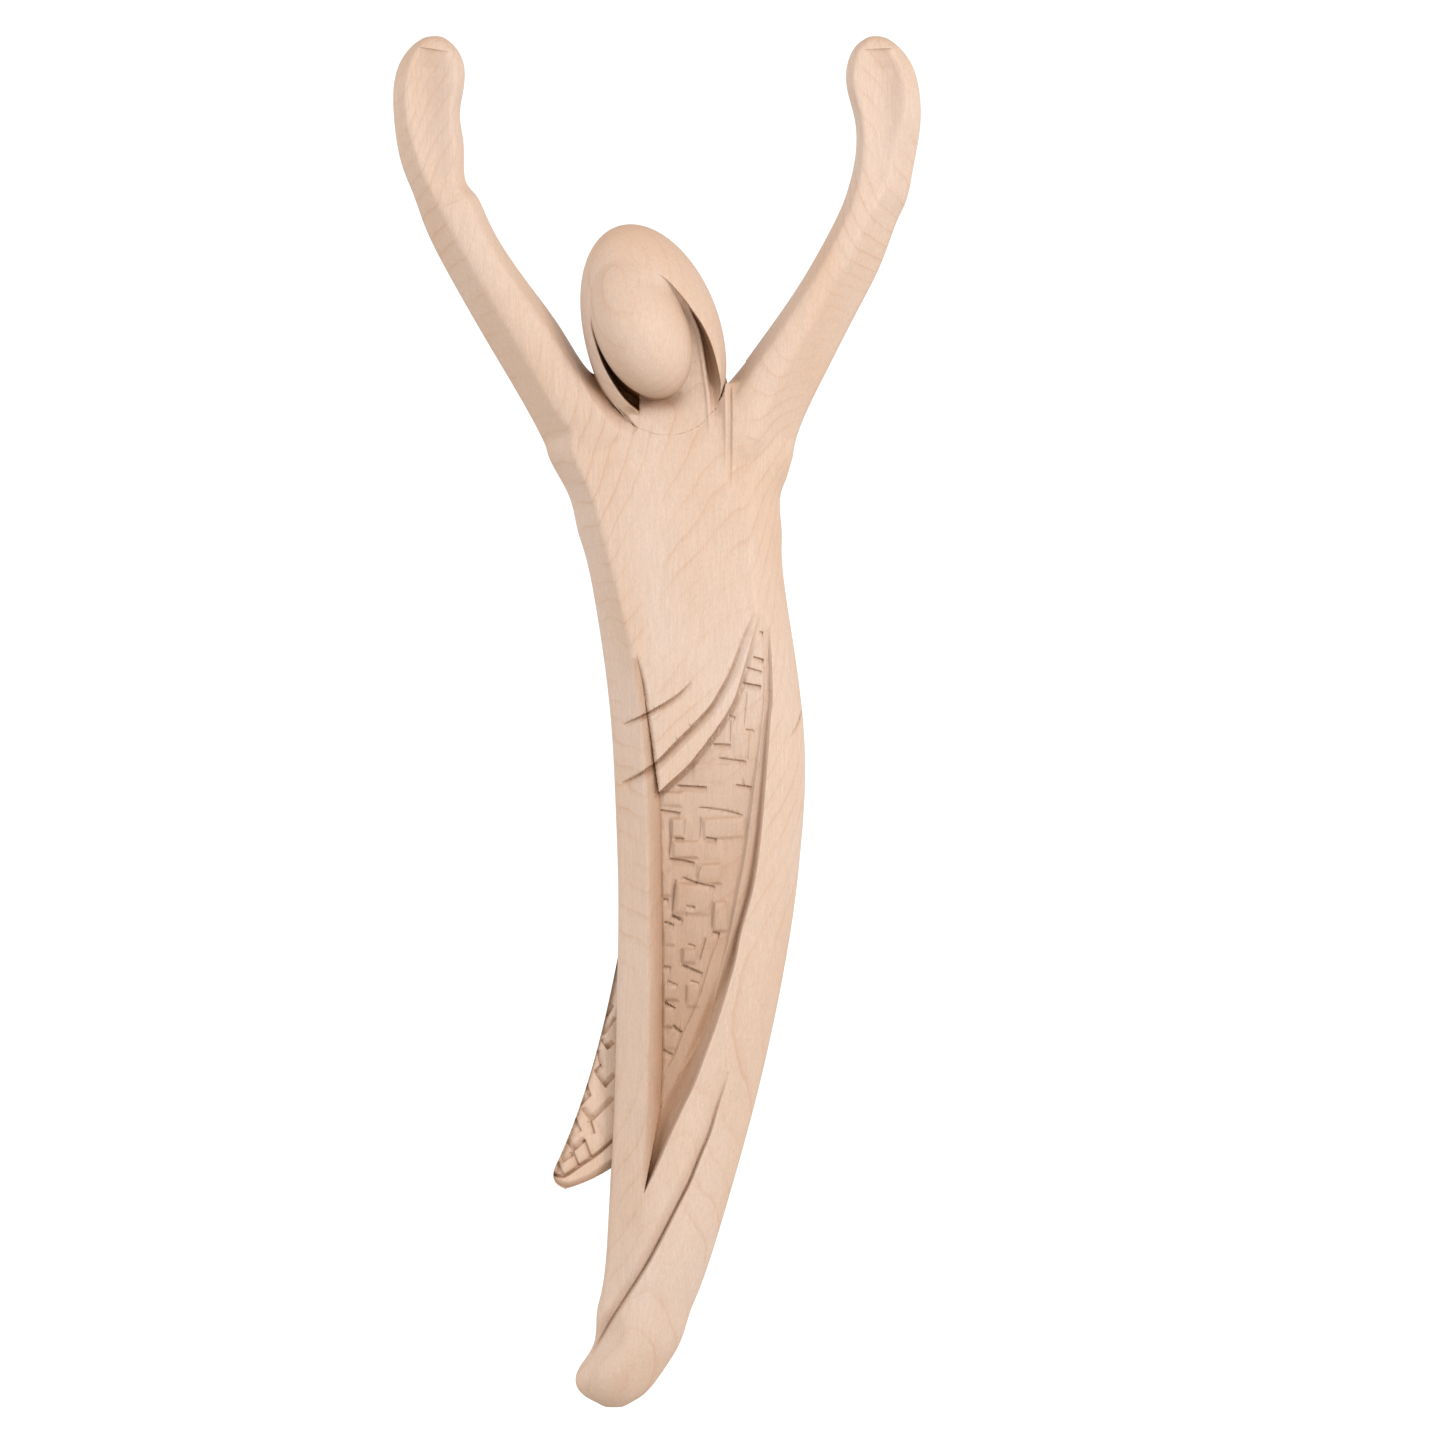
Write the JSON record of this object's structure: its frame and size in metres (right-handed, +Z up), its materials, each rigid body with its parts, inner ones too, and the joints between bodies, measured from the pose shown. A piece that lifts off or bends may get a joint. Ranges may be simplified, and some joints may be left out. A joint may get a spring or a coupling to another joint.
{
  "type": "carved wooden wall figure",
  "caption": "Wall-hung maple carving of a slim robed figure with raised arms, a hooded blank face and a steel keyhole hanger in the back.",
  "frame": {"origin": "centre of the keyhole's round entry, in the wall plane behind the figure", "axes": "+X to the right as a viewer sees the figure, +Z up along its length, and it faces -Y; the wall is y = 0"},
  "size_m": [0.1539, 0.0402, 0.3998],
  "materials": {
    "maple": "sanded, unvarnished",
    "beech_dowel": "sawn and fluted",
    "zinc_steel": "zinc plated"
  },
  "bodies": {
    "root": {"trunk": "maple", "left_arm": "maple", "right_arm": "maple", "head": "maple", "cloth_end": "maple", "left_shoulder_dowels": "beech_dowel", "right_shoulder_dowels": "beech_dowel", "neck_dowel": "beech_dowel", "cloth_end_dowels": "beech_dowel", "keyhole_plate": "zinc_steel", "plate_screws": "zinc_steel"}
  },
  "joints": []
}
